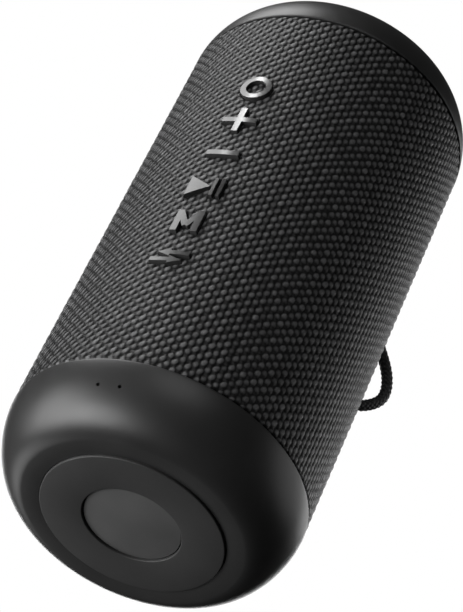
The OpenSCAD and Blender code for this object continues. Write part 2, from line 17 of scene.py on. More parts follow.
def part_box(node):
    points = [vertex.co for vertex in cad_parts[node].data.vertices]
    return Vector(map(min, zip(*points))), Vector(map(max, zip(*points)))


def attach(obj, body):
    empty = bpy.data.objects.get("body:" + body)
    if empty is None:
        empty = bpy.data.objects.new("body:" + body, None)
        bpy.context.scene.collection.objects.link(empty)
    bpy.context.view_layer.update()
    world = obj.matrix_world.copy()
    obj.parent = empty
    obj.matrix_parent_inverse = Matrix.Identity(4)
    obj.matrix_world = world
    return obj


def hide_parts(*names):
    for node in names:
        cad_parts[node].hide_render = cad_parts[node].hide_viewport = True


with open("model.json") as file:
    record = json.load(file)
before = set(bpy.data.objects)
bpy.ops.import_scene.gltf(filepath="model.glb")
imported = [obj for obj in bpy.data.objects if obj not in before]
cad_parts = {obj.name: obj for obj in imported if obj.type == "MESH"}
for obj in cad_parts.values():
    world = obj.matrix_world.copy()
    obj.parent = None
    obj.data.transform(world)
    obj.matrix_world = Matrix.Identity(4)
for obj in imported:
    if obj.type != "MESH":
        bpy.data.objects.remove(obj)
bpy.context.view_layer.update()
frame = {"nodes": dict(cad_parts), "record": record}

MM = 0.001
NODES = frame["nodes"]


# ---------- sizes from the frame ----------

def top(node):
    """The highest corner of a node's box."""
    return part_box(node)[1]


def low(node):
    """The lowest corner of a node's box."""
    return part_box(node)[0]


HEIGHT = top("top_ring").z
BODY_R = top("fabric_sleeve").y
SLEEVE_LOW = low("fabric_sleeve").z
SLEEVE_HIGH = top("fabric_sleeve").z
SEAM_GAP = 0.3 * MM
RING_R = top("foot_ring").x
DISC_R = top("base_disc").x
FACE_Z = low("base_disc").z
RING_BACK_Z = top("foot_ring").z
RING_GAP = 0.15 * MM
STRAP_ANGLE = math.radians(135)


# ---------- camera ----------

CAMERA_AT = Vector((298.8, -506.3, -418.2)) * MM
CAMERA_RIGHT = Vector((0.9182, 0.2155, 0.3326)).normalized()
CAMERA_UP = Vector((-0.0780, -0.7247, 0.6847)).normalized()
CAMERA_LENS = 162.3
SENSOR_WIDTH = 36
CLIP_START = 0.02
CLIP_END = 20


def make_camera():
    """Below, in front of and to the right of the speaker, rolled so that it leans across the picture."""
    data = bpy.data.cameras.new("camera")
    data.sensor_width = SENSOR_WIDTH
    data.lens = CAMERA_LENS
    data.clip_start, data.clip_end = CLIP_START, CLIP_END
    camera = bpy.data.objects.new("camera", data)
    back = CAMERA_RIGHT.cross(CAMERA_UP)
    turn = Matrix((CAMERA_RIGHT, CAMERA_UP, back)).transposed().to_4x4()
    camera.matrix_world = Matrix.Translation(CAMERA_AT) @ turn
    bpy.context.scene.collection.objects.link(camera)
    bpy.context.scene.camera = camera


make_camera()


# ---------- mesh helpers ----------

FILLET_STEPS = 4
LATHE_SIDES = 256
MERGE_WITHIN = 1e-7
# An edge that turns by more than this counts as sharp
SHARP_FROM = math.radians(40)


def new_piece(name, body, mesh):
    """An object for the mesh, which rides on a body."""
    piece = bpy.data.objects.new(name, mesh)
    bpy.context.scene.collection.objects.link(piece)
    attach(piece, body)
    return piece


def grid_mesh(name, points, faces):
    """points is n by 3 and faces m by 4, both numpy arrays."""
    mesh = bpy.data.meshes.new(name)
    mesh.vertices.add(len(points))
    mesh.vertices.foreach_set("co", np.asarray(points, np.float32).ravel())
    mesh.loops.add(faces.size)
    mesh.loops.foreach_set("vertex_index", np.asarray(faces, np.int32).ravel())
    mesh.polygons.add(len(faces))
    mesh.polygons.foreach_set("loop_start", np.arange(0, faces.size, 4, dtype=np.int32))
    mesh.update(calc_edges=True)
    mesh.validate()
    mesh.shade_smooth()
    return mesh


def quads(rows, columns, around=False, closed=False):
    """Faces of a rows by columns grid of points. around joins the last row to the first, and closed
    the last column to the first.
    """
    last_row = rows if around else rows - 1
    last = columns if closed else columns - 1
    i, j = np.meshgrid(np.arange(last_row), np.arange(last), indexing="ij")
    i, j = i.ravel(), j.ravel()
    up, across = (i + 1) % rows, (j + 1) % columns
    return np.stack([i * columns + j, i * columns + across, up * columns + across, up * columns + j], axis=1)


def filleted(corners):
    """A closed outline from (r, z, fillet radius) corners, with each corner rounded by an arc."""
    out = []
    count = len(corners)
    for k, (r, z, fillet) in enumerate(corners):
        p = Vector((r, z))
        if not fillet:
            out.append(p)
            continue
        a = (Vector(corners[k - 1][:2]) - p).normalized()
        b = (Vector(corners[(k + 1) % count][:2]) - p).normalized()
        half = a.angle(b) / 2
        reach = fillet / math.tan(half)
        centre = p + (a + b).normalized() * (fillet / math.sin(half))
        start, end = (p + a * reach - centre).normalized(), (p + b * reach - centre).normalized()
        for step in range(FILLET_STEPS + 1):
            out.append(centre + start.slerp(end, step / FILLET_STEPS) * fillet)
    return out


def lathe(name, outline):
    """A closed solid of revolution about Z from a closed outline of (r, z) points."""
    angles = np.linspace(0, 2 * math.pi, LATHE_SIDES, endpoint=False)
    r = np.array([p[0] for p in outline])
    z = np.array([p[1] for p in outline])
    points = np.stack(
        [
            np.outer(np.sin(angles), r),
            np.outer(-np.cos(angles), r),
            np.outer(np.ones(LATHE_SIDES), z),
        ],
        axis=2,
    ).reshape(-1, 3)
    mesh = grid_mesh(name, points, quads(LATHE_SIDES, len(outline), around=True, closed=True))
    work = bmesh.new()
    work.from_mesh(mesh)
    bmesh.ops.remove_doubles(work, verts=work.verts, dist=MERGE_WITHIN)
    bmesh.ops.recalc_face_normals(work, faces=work.faces)
    work.to_mesh(mesh)
    work.free()
    mesh.shade_smooth()
    mesh.set_sharp_from_angle(angle=SHARP_FROM)
    return mesh


# ---------- materials ----------

def node_material(name, base, roughness, **sockets):
    """A new material and its node tree; sockets are set on the shader itself."""
    material = bpy.data.materials.new(name)
    material.use_nodes = True
    tree = material.node_tree
    shader = tree.nodes["Principled BSDF"]
    shader.inputs["Base Color"].default_value = (*base, 1)
    shader.inputs["Roughness"].default_value = roughness
    for socket, value in sockets.items():
        shader.inputs[socket.replace("_", " ")].default_value = value
    return material, tree, shader


def add_node(tree, kind, **values):
    """A node with the given sockets or properties set."""
    node = tree.nodes.new(kind)
    for key, value in values.items():
        if key in node.inputs:
            node.inputs[key].default_value = value
        else:
            setattr(node, key, value)
    return node


def object_coordinates(tree, scale=(1, 1, 1)):
    """Object coordinates, stretched by scale."""
    where = tree.nodes.new("ShaderNodeTexCoord")
    stretch = tree.nodes.new("ShaderNodeMapping")
    stretch.inputs["Scale"].default_value = scale
    tree.links.new(where.outputs["Object"], stretch.inputs["Vector"])
    return stretch.outputs["Vector"]


def noise(tree, vector, scale, detail=2.0, rough=0.5):
    """A noise texture's factor."""
    node = tree.nodes.new("ShaderNodeTexNoise")
    node.inputs["Scale"].default_value = scale
    node.inputs["Detail"].default_value = detail
    node.inputs["Roughness"].default_value = rough
    tree.links.new(vector, node.inputs["Vector"])
    return node.outputs["Fac"]


def ramp(tree, factor, stops):
    """A colour ramp from (position, (r, g, b)) stops."""
    node = tree.nodes.new("ShaderNodeValToRGB")
    elements = node.color_ramp.elements
    while len(elements) < len(stops):
        elements.new(0.5)
    for element, (position, colour) in zip(elements, stops):
        element.position = position
        element.color = (*colour, 1)
    tree.links.new(factor, node.inputs["Fac"])
    return node.outputs["Color"]


def spread(tree, factor, low_value, high_value):
    """Maps 0..1 to a range."""
    node = tree.nodes.new("ShaderNodeMapRange")
    node.inputs["To Min"].default_value = low_value
    node.inputs["To Max"].default_value = high_value
    tree.links.new(factor, node.inputs["Value"])
    return node.outputs["Result"]


def add_bump(tree, shader, height, distance, strength):
    """Roughens the surface by a height that is 0 to 1 times distance."""
    node = tree.nodes.new("ShaderNodeBump")
    node.inputs["Distance"].default_value = distance
    node.inputs["Strength"].default_value = strength
    tree.links.new(height, node.inputs["Height"])
    tree.links.new(node.outputs["Normal"], shader.inputs["Normal"])


def moulded(name, base, roughness, grain=0.02 * MM, grain_scale=3200, blotch=0.15, **sockets):
    """Moulded plastic or rubber: fine grain, and a faint change of tone and gloss over the surface."""
    material, tree, shader = node_material(name, base, roughness, **sockets)
    where = object_coordinates(tree)
    patches = noise(tree, where, 60, detail=3)
    dark = [c * (1 - blotch) for c in base]
    light = [c * (1 + blotch) for c in base]
    tree.links.new(ramp(tree, patches, [(0.3, dark), (0.7, light)]), shader.inputs["Base Color"])
    gloss = spread(tree, noise(tree, where, 140, detail=4), roughness * 0.92, roughness * 1.08)
    tree.links.new(gloss, shader.inputs["Roughness"])
    add_bump(tree, shader, noise(tree, where, grain_scale, detail=2), grain, 0.5)
    return material


def woven(name, base, roughness, shaded=False, **sockets):
    """Filament yarn: fine strands with a slow change of tone, and, when shaded, painted shade that darkens the
    gaps.
    """
    material, tree, shader = node_material(name, base, roughness, **sockets)
    strands = noise(tree, object_coordinates(tree, (6, 6, 1)), 1400, detail=2, rough=0.6)
    tone = noise(tree, object_coordinates(tree), 420, detail=2)
    mixed = tree.nodes.new("ShaderNodeMath")
    mixed.operation = "MULTIPLY"
    tree.links.new(strands, mixed.inputs[0])
    tree.links.new(tone, mixed.inputs[1])
    dark = [c * 0.55 for c in base]
    light = [c * 1.5 for c in base]
    colour = ramp(tree, mixed.outputs[0], [(0.1, dark), (0.45, light)])
    if shaded:
        colour = yarn_shaded(tree, colour)
    tree.links.new(colour, shader.inputs["Base Color"])
    add_bump(tree, shader, strands, 0.04 * MM, 0.6)
    return material


def yarn_shaded(tree, colour):
    """The colour, darkened by painted shade where the cloth's mesh says that its yarns shade each other."""
    shade = add_node(tree, "ShaderNodeAttribute", attribute_name=YARN_SHADE)
    scaled = add_node(tree, "ShaderNodeVectorMath", operation="SCALE")
    tree.links.new(colour, scaled.inputs[0])
    tree.links.new(shade.outputs["Fac"], scaled.inputs["Scale"])
    return scaled.outputs["Vector"]


# The mesh attribute that carries the yarn's painted shade
YARN_SHADE = "yarn_shade"
MATERIALS = {
    # The sleeve's yarn colour carries painted shade in its gaps
    "sleeve_fabric": woven("sleeve_fabric", (0.125, 0.125, 0.127), 0.45, shaded=True,
                           Specular_IOR_Level=0.22, Sheen_Weight=0.03, Sheen_Roughness=0.5),
    "cap_plastic": moulded("cap_plastic", (0.022, 0.022, 0.022), 0.40),
    "foot_rubber": moulded("foot_rubber", (0.024, 0.024, 0.024), 0.6),
    "disc_plastic": moulded("disc_plastic", (0.066, 0.066, 0.066), 0.6),
    "key_plastic": moulded("key_plastic", (0.036, 0.036, 0.036), 0.18, grain=0.002 * MM),
}


def dress(piece, material):
    """Gives a piece this material and no other."""
    piece.data.materials.clear()
    piece.data.materials.append(MATERIALS[material])


# ---------- end caps, rings and discs ----------

CAP_N = 1.8
CAP_FACE_R = 31 * MM
CAP_LIP = 0.25 * MM
CAP_STEPS = 48
LIP_STEPS = 4
CAP_EDGE_R = 0.12 * MM
# A rim stands up from the cap into the sleeve: how far its outer and inner faces lie inside the
# body's surface, and how high it is. The cap's wall carries on down from its inner face.
CAP_RIM_OUTER = 3.3 * MM
CAP_RIM_INNER = 5.3 * MM
CAP_RIM_UP = 4.5 * MM
CAP_FLOOR_Z = 4 * MM


def cap_outline(seam_z):
    """The cap's outer surface from the ring's recess to the fabric, then a plain inner wall."""
    rim_r = BODY_R - CAP_RIM_OUTER
    wall_r = BODY_R - CAP_RIM_INNER
    recess_r = RING_R + RING_GAP
    outline = filleted([
        (0, RING_BACK_Z, 0),
        (recess_r, RING_BACK_Z, 0),
        (recess_r, FACE_Z, CAP_EDGE_R),
        (CAP_FACE_R, FACE_Z, 0),
    ])[:-1]
    round_h = seam_z - CAP_LIP - FACE_Z
    for step in range(CAP_STEPS + 1):
        t = math.pi / 2 * (1 - step / CAP_STEPS)
        outline.append(Vector((
            CAP_FACE_R + (BODY_R - CAP_FACE_R) * max(0, math.cos(t)) ** (2 / CAP_N),
            FACE_Z + round_h * (1 - math.sin(t) ** (2 / CAP_N)),
        )))
    for step in range(1, LIP_STEPS + 1):
        t = math.pi / (2 * LIP_STEPS) * step
        outline.append(Vector((BODY_R - CAP_LIP * (1 - math.cos(t)), seam_z - CAP_LIP * (1 - math.sin(t)))))
    inside = (
        (rim_r, seam_z),
        (rim_r, seam_z + CAP_RIM_UP),
        (wall_r, seam_z + CAP_RIM_UP),
        (wall_r, seam_z - 3 * MM),
        (wall_r - 4 * MM, CAP_FLOOR_Z + 2 * MM),
        (wall_r - 8 * MM, CAP_FLOOR_Z),
        (0, CAP_FLOOR_Z),
    )
    outline.extend(Vector(point) for point in inside)
    return outline


def flipped(mesh):
    """Turns a part drawn for the bottom end over to the top end."""
    mesh.transform(Matrix.Translation((0, 0, HEIGHT)) @ Matrix.Rotation(math.pi, 4, "X"))
    return mesh


def ring_outline():
    """The rubber ring on an end; the speaker stands on the bottom one."""
    inner = DISC_R + RING_GAP
    return filleted([
        (inner, RING_BACK_Z, 0),
        (RING_R, RING_BACK_Z, 0),
        (RING_R, 0, 0.35 * MM),
        (inner, 0, 0.3 * MM),
    ])


def disc_outline():
    """The plate inside the ring."""
    return filleted([
        (0, FACE_Z, 0),
        (0, RING_BACK_Z, 0),
        (DISC_R, RING_BACK_Z, 0),
        (DISC_R, FACE_Z, 0.3 * MM),
    ])


PINHOLE_X = (-2.8 * MM, 3.3 * MM)
PINHOLE_Z = 11 * MM
PINHOLE_R = 0.5 * MM
PINHOLE_SIDES = 32
DRILL_LENGTH = 16 * MM
DRILL_MIDDLE_IN = 2 * MM


def drill_pinholes(mesh):
    """The two small holes over the microphone and the charging light."""
    piece = bpy.data.objects.new("drilled", mesh)
    bpy.context.scene.collection.objects.link(piece)
    cutters = bmesh.new()
    for x in PINHOLE_X:
        middle = (x, -BODY_R + DRILL_MIDDLE_IN, PINHOLE_Z)
        place = Matrix.Translation(middle) @ Matrix.Rotation(math.pi / 2, 4, "X")
        bmesh.ops.create_cone(cutters, cap_ends=True, segments=PINHOLE_SIDES, radius1=PINHOLE_R,
                              radius2=PINHOLE_R, depth=DRILL_LENGTH, matrix=place)
    tool_mesh = bpy.data.meshes.new("drill")
    cutters.to_mesh(tool_mesh)
    cutters.free()
    tool = bpy.data.objects.new("drill", tool_mesh)
    bpy.context.scene.collection.objects.link(tool)
    cut = piece.modifiers.new("pinholes", "BOOLEAN")
    cut.object = tool
    cut.operation = "DIFFERENCE"
    cut.solver = "EXACT"
    depsgraph = bpy.context.evaluated_depsgraph_get()
    drilled = bpy.data.meshes.new_from_object(piece.evaluated_get(depsgraph))
    drilled.name = mesh.name
    bpy.data.objects.remove(piece)
    bpy.data.objects.remove(tool)
    return drilled


def make_caps():
    """Both end caps, with the ring and the disc on each."""
    bottom = drill_pinholes(lathe("bottom_shell", cap_outline(SLEEVE_LOW - SEAM_GAP)))
    top_mesh = flipped(lathe("top_shell", cap_outline(HEIGHT - SLEEVE_HIGH - SEAM_GAP)))
    for mesh, node in ((bottom, "bottom_cap"), (top_mesh, "top_cap")):
        piece = new_piece(mesh.name, "speaker", mesh)
        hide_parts(node)
        dress(piece, "cap_plastic")
    parts = (
        ("foot_pad", ring_outline, "foot_ring", "foot_rubber", False),
        ("base_plate", disc_outline, "base_disc", "disc_plastic", False),
        ("top_pad", ring_outline, "top_ring", "foot_rubber", True),
        ("top_plate", disc_outline, "top_disc", "disc_plastic", True),
    )
    for name, outline, node, material, turn in parts:
        mesh = lathe(name, outline())
        piece = new_piece(name, "speaker", flipped(mesh) if turn else mesh)
        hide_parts(node)
        dress(piece, material)


# ---------- woven sleeve ----------

COLUMNS = 156
COLUMN = 2 * math.pi * BODY_R / COLUMNS
GRAIN = 3.07 * MM
STRIPS = 6
ACROSS = 8
ALONG = 10
CLOTH_RELIEF = 0.34 * MM
CLOTH_LOW_R = BODY_R + 0.02 * MM - CLOTH_RELIEF
CLOTH_EDGE_R = BODY_R - 0.55 * MM
CLOTH_END_R = BODY_R - 0.9 * MM
GRAIN_HALF_W = 0.86 * MM
GRAIN_HALF_L = 1.36 * MM
GRAIN_LEAN = math.radians(25)
ODD_LEAN = math.radians(8)
# How unevenly the knuckles lie, and how much shorter and lower every other column's are
SHIFT_X = 0.045 * MM
SHIFT_Y = 0.09 * MM
UNEVEN = 0.05
ODD_SHORTER = 0.1
ODD_LOWER = 0.12
KNUCKLE_LEVEL = 0.94
DOME_POWER_W = 2.4
DOME_POWER_L = 2.2
# The crossing thread that shows between two knuckles of a column
WEFT_LEVEL = 0.5
WEFT_X = 0.16 * MM
WEFT_DOWN = 0.10 * MM
WEFT_HALF_W = 0.80 * MM
WEFT_HALF_H = 0.62 * MM
# The gap at the upper left of each knuckle: deeper in the mesh, and darkened in the yarn's colour by painted
# shade
PORE_X = -0.42 * MM
PORE_Y = 1.08 * MM
PORE_W = 0.46 * MM
PORE_H = 0.44 * MM
PORE_DEPTH = 0.5
# How much painted shade darkens the yarn's colour in that gap
PORE_SHADE = 0.95
# The levels between which the painted shade on the yarn's colour goes from its darkest, in the gaps, to none
SHADE_START = 0.38
SHADE_END = 0.97
SHADE_POWER = 1.3
DARKEST = 0.04
# Points this near a hole's edge move onto it, and the cloth then rises from it over the rolls' widths
SNAP_WITHIN = 0.6 * max(COLUMN / ACROSS, GRAIN / ALONG)
ROLL_FROM = -0.15 * MM
END_ROLL = 0.55 * MM
HOLE_ROLL = 0.4 * MM

KEY_PITCH = 14 * MM
FIRST_KEY_Z = (low("link_key").z + top("link_key").z) / 2
KEY_GAP = 0.2 * MM
# How far each of the link symbol's arrows lies from its middle, in mm
LINK_DOWN = 1.35


def bar(x0, y0, x1, y1, width):
    """Corners of a bar between two points."""
    along = Vector((x1 - x0, y1 - y0)).normalized() * (width / 2)
    side = Vector((-along.y, along.x))
    return [
        (x0 - side.x, y0 - side.y),
        (x1 - side.x, y1 - side.y),
        (x1 + side.x, y1 + side.y),
        (x0 + side.x, y0 + side.y),
    ]


def head(x0, x1, half):
    """Corners of an arrow head that points along +x."""
    return [(x0, -half), (x1, 0), (x0, half)]


def half_link(turn):
    """One of the link symbol's two arrows; turn is 1 for the lower one and -1 for the upper one."""
    shapes = (bar(-5.3, 0, 0.3, 0, 1.35), head(0.1, 3.8, 1.45))
    return [[(turn * x, turn * (y - LINK_DOWN)) for x, y in shape] for shape in shapes]


# The symbols' outlines in mm about each key's centre, from the lowest key up; the power key's is a disc
SYMBOLS = [
    half_link(1) + half_link(-1),
    [
        bar(-2.95, -4, -2.95, 4, 1.9),
        bar(2.95, -4, 2.95, 4, 1.9),
        bar(-2.7, 3.1, 0, -1.9, 1.8),
        bar(2.7, 3.1, 0, -1.9, 1.8),
    ],
    [head(-5.1, 1.5, 3.8), bar(2.5, -3.5, 2.5, 3.5, 0.95), bar(4.6, -3.5, 4.6, 3.5, 0.95)],
    [bar(-4.8, 0, 4.8, 0, 1.8)],
    [bar(-5.1, 0, 5.1, 0, 1.8), bar(0, -4.85, 0, 4.85, 1.8)],
]
POWER_Z = FIRST_KEY_Z + 5 * KEY_PITCH
POWER_DISC_R = 4.75 * MM
PATCH_R = 2.8 * MM
PATCH_MARGIN = 1.1
PATCH_STEP = 0.16 * MM


def chamfered(width, height, corner):
    """Corners of a rectangle about the origin, with its own corners cut off."""
    w, h = width / 2, height / 2
    return [(-w, -h + corner), (-w + corner, -h), (w - corner, -h), (w, -h + corner),
            (w, h - corner), (w - corner, h), (-w + corner, h), (-w, h - corner)]


def outside_by(corners, x, y):
    """Signed distance from a polygon's outline, negative inside."""
    best = np.full(x.shape, np.inf)
    inside = np.zeros(x.shape, bool)
    for (x0, y0), (x1, y1) in zip(corners, corners[1:] + corners[:1]):
        ex, ey = x1 - x0, y1 - y0
        t = np.clip(((x - x0) * ex + (y - y0) * ey) / (ex * ex + ey * ey), 0, 1)
        best = np.minimum(best, np.hypot(x - x0 - t * ex, y - y0 - t * ey))
        crosses = (y0 > y) != (y1 > y)
        if ey:
            inside ^= crosses & (x < x0 + (y - y0) * ex / ey)
    return np.where(inside, -best, best)


# Width, height, corner and the height of its centre
BEZEL = (30 * MM, 18 * MM, 3 * MM, 38.5 * MM)
# The height of each eyelet's centre and its own height
EYELETS = ((104.5 * MM, 10.4 * MM), (78.5 * MM, 7.6 * MM))
EYELET_W = 5 * MM
EYELET_CHAMFER = 1.6 * MM
HOLE_GAP = 0.3 * MM
# How much wider and taller an eyelet's flange is, and the width of cloth round it that is pressed down
FLANGE_GROWN = 1.8 * MM
PRESSED = 0.6 * MM
# In radians: half the arc in which the symbols or an eyelet can lie, and where the rear begins
NEAR_ARC = 0.2
REAR_FROM = 2.6
KEY_REACH = 7 * MM


def cut_distance(angle, z):
    """Distance from the nearest hole in the cloth, negative inside one."""
    best = np.full(z.shape, 1.0)
    front = np.abs(angle) < NEAR_ARC
    x = BODY_R * np.sin(angle)
    for k, shapes in enumerate(SYMBOLS):
        centre = FIRST_KEY_Z + KEY_PITCH * k
        near = front & (np.abs(z - centre) < KEY_REACH)
        for shape in shapes:
            corners = [(p * MM, q * MM) for p, q in shape]
            best[near] = np.minimum(best[near], outside_by(corners, x[near], z[near] - centre) - KEY_GAP)
    near = front & (np.abs(z - POWER_Z) < KEY_REACH)
    best[near] = np.minimum(best[near], np.hypot(x[near], z[near] - POWER_Z) - POWER_DISC_R)
    width, height, corner, centre = BEZEL
    near = (np.abs(angle) > REAR_FROM) & (np.abs(z - centre) < height)
    corners = chamfered(width + HOLE_GAP, height + HOLE_GAP, corner)
    best[near] = np.minimum(best[near], outside_by(corners, x[near], z[near] - centre))
    aside = BODY_R * np.sin(angle - STRAP_ANGLE)
    for centre, height in EYELETS:
        near = (np.abs(angle - STRAP_ANGLE) < NEAR_ARC) & (np.abs(z - centre) < height)
        corners = chamfered(EYELET_W + HOLE_GAP, height + HOLE_GAP, EYELET_CHAMFER)
        best[near] = np.minimum(best[near], outside_by(corners, aside[near], z[near] - centre))
    return best


def eyelet_cover(angle, z):
    """1 clear of the eyelets' flanges and 0 under them, where the cloth is pressed flat."""
    clear = np.ones(z.shape)
    aside = BODY_R * np.sin(angle - STRAP_ANGLE)
    for centre, height in EYELETS:
        near = (np.abs(angle - STRAP_ANGLE) < NEAR_ARC) & (np.abs(z - centre) < height)
        cut_off = EYELET_CHAMFER + FLANGE_GROWN / 4
        corners = chamfered(EYELET_W + FLANGE_GROWN, height + FLANGE_GROWN, cut_off)
        apart = outside_by(corners, aside[near], z[near] - centre)
        clear[near] = np.minimum(clear[near], step_up(apart, 0, PRESSED))
    return clear


def step_up(value, start, end):
    """0 below start, 1 above end and smooth between."""
    t = np.clip((value - start) / (end - start), 0, 1)
    return t * t * (3 - 2 * t)


dice = np.random.default_rng(11)
GRAIN_ROWS = int((SLEEVE_HIGH - SLEEVE_LOW) / GRAIN) + 6
GRAIN_DICE = dice.normal(size=(5, COLUMNS, GRAIN_ROWS)).clip(-2, 2)


def weave_height(u, v):
    """Level, 0 in a gap to 1 on a knuckle, and the painted shade for the yarn's colour. u runs round from the
    front and v is the height.
    """
    level = np.zeros(u.shape)
    pore = np.zeros(u.shape)
    column = np.floor(u / COLUMN).astype(int)
    for shift in (-1, 0, 1):
        c = column + shift
        odd = c % 2
        start = SLEEVE_LOW + odd * GRAIN / 2
        row = np.floor((v - start) / GRAIN).astype(int)
        for up in (0, 1):
            j = row + up
            aside, along, tall, longer, lean = GRAIN_DICE[:, c % COLUMNS, (j + 2) % GRAIN_ROWS]
            x = u - (c + 0.5) * COLUMN - SHIFT_X * aside
            y = v - start - j * GRAIN - SHIFT_Y * along
            angle = np.where(odd, ODD_LEAN, GRAIN_LEAN) + UNEVEN * lean
            across = x * np.cos(angle) - y * np.sin(angle)
            down = x * np.sin(angle) + y * np.cos(angle)
            half_l = GRAIN_HALF_L * (1 + UNEVEN * longer - ODD_SHORTER * odd)
            dome = 1 - np.abs(across / GRAIN_HALF_W) ** DOME_POWER_W
            dome = dome - np.abs(down / half_l) ** DOME_POWER_L
            crown = np.sqrt(np.clip(dome, 0, 1)) * (KNUCKLE_LEVEL + UNEVEN * tall - ODD_LOWER * odd)
            level = np.maximum(level, crown)
            px = (x - PORE_X) / PORE_W
            py = (y - PORE_Y) / PORE_H
            pore = np.maximum(pore, np.exp(-px ** 2 - py ** 2))
            if shift == 0:
                wx = (x - WEFT_X) / WEFT_HALF_W
                wy = (y - (GRAIN / 2 - WEFT_DOWN)) / WEFT_HALF_H
                level = np.maximum(level, WEFT_LEVEL * np.sqrt(np.clip(1 - wx ** 2 - wy ** 2, 0, 1)))
    # Painted shade: the yarn's colour is darkened in the low gaps between knuckles and in each knuckle's
    # upper-left gap
    lit = step_up(level, SHADE_START, SHADE_END) ** SHADE_POWER
    shade = (DARKEST + (1 - DARKEST) * lit) * (1 - PORE_SHADE * pore)
    return level - PORE_DEPTH * pore, shade


def cloth_mesh(name, u, v, gap, grads, clear):
    """A grid of cloth points, trimmed where gap is negative; grads is gap's slope along u and v."""
    snap = np.abs(gap) < SNAP_WITHIN
    u = np.where(snap, u - gap * grads[0], u)
    v = np.where(snap, v - gap * grads[1], v)
    apart = np.where(snap, 0, gap)
    level, shade = weave_height(u, v)
    full = CLOTH_LOW_R + CLOTH_RELIEF * level
    ends = step_up(np.minimum(v - SLEEVE_LOW, SLEEVE_HIGH - v), ROLL_FROM, END_ROLL)
    tuck = step_up(apart, ROLL_FROM, HOLE_ROLL) * clear
    r = CLOTH_EDGE_R + (full - CLOTH_EDGE_R) * tuck
    r = CLOTH_END_R + (r - CLOTH_END_R) * ends
    angle = u / BODY_R
    points = np.stack([r * np.sin(angle), -r * np.cos(angle), v], axis=2)
    rows, columns = u.shape
    faces = quads(rows, columns)
    flat = apart.ravel()[faces]
    keep = (flat >= 0).all(axis=1) & (flat.max(axis=1) > 0)
    faces = faces[keep]
    used, faces = np.unique(faces, return_inverse=True)
    mesh = grid_mesh(name, points.reshape(-1, 3)[used], faces.reshape(-1, 4))
    # Each point keeps its painted shade for the yarn's colour
    shades = mesh.attributes.new(YARN_SHADE, "FLOAT", "POINT")
    shades.data.foreach_set("value", shade.ravel()[used].astype(np.float32))
    return mesh


def slopes(distance, a, b):
    """The slope of a distance function over the surface, per metre round and up."""
    h = 0.02 * MM
    da = (distance(a + h / BODY_R, b) - distance(a - h / BODY_R, b)) / (2 * h)
    db = (distance(a, b + h) - distance(a, b - h)) / (2 * h)
    return da, db


def make_sleeve():
    """The sleeve as six sheets side by side, each with the symbols and holes that fall in it cut out."""
    per_strip = COLUMNS // STRIPS
    rows = int(round((SLEEVE_HIGH - SLEEVE_LOW) / GRAIN * ALONG))
    v_line = np.linspace(SLEEVE_LOW, SLEEVE_HIGH, rows + 1)
    for strip in range(STRIPS):
        first = (strip * per_strip - per_strip // 2) * COLUMN
        u_line = first + np.linspace(0, per_strip * COLUMN, per_strip * ACROSS + 1)
        v, u = np.meshgrid(v_line, u_line, indexing="ij")
        angle = (u / BODY_R + math.pi) % (2 * math.pi) - math.pi
        gap = cut_distance(angle, v)
        grads = slopes(cut_distance, angle, v)
        mesh = cloth_mesh(f"sleeve_cloth_{strip + 1}", u, v, gap, grads, eyelet_cover(angle, v))
        piece = new_piece(mesh.name, "speaker", mesh)
        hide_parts("fabric_sleeve")
        dress(piece, "sleeve_fabric")


def make_power_patch():
    """The disc of the sleeve's cloth inside the power ring, which moves with the key."""
    reach = PATCH_R * PATCH_MARGIN
    side = np.arange(-reach, reach, PATCH_STEP)
    v, u = np.meshgrid(POWER_Z + side, side, indexing="ij")

    def inside(angle, z):
        return PATCH_R - np.hypot(angle * BODY_R, z - POWER_Z)

    angle = u / BODY_R
    mesh = cloth_mesh("power_patch_cloth", u, v, inside(angle, v), slopes(inside, angle, v), np.ones(u.shape))
    piece = new_piece(mesh.name, "power_button", mesh)
    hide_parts("power_key_patch")
    dress(piece, "sleeve_fabric")


# ---------- strap ----------

# The cord's route: distance outside the body and height, as in the CAD
STRAP_ROUTE = np.array([
    (-4, 108.2), (0.6, 102.6), (2.6, 100.2), (4.6, 97.6), (6.2, 94.9), (7.3, 92),
    (7.75, 89.2), (7.5, 86.6), (6.3, 84), (4.2, 81.4), (1.6, 79.4), (-4, 76.8),
]) * MM
CORD_D = 3.4 * MM
CORD_CARRIERS = 6
CORD_PITCH = 1.6 * MM
CORD_RELIEF = 0.36 * MM
CORD_SIDES = 84
CORD_RINGS = 240
CORD_PATH_POINTS = 36
STEPS_PER_SPAN = 24
CARRIER_FALL = 2.05
STRAP_OUT = Vector((math.sin(STRAP_ANGLE), -math.cos(STRAP_ANGLE), 0))
STRAP_SIDE = Vector((math.cos(STRAP_ANGLE), math.sin(STRAP_ANGLE), 0))


def smooth_line(points, count):
    """count evenly spaced points on a Catmull-Rom curve through the given ones, and its length."""
    padded = np.vstack([2 * points[0] - points[1], points, 2 * points[-1] - points[-2]])
    fine = []
    for k in range(1, len(padded) - 2):
        a, b, c, d = padded[k - 1:k + 3]
        for t in np.linspace(0, 1, STEPS_PER_SPAN, endpoint=False):
            fine.append(0.5 * (2 * b + (c - a) * t + (2 * a - 5 * b + 4 * c - d) * t ** 2
                               + (3 * b - a - 3 * c + d) * t ** 3))
    fine.append(padded[-2])
    fine = np.array(fine)
    along = np.concatenate([[0], np.cumsum(np.linalg.norm(np.diff(fine, axis=0), axis=1))])
    wanted = np.linspace(0, along[-1], count)
    return np.stack([np.interp(wanted, along, fine[:, k]) for k in range(fine.shape[1])], axis=1), along[-1]


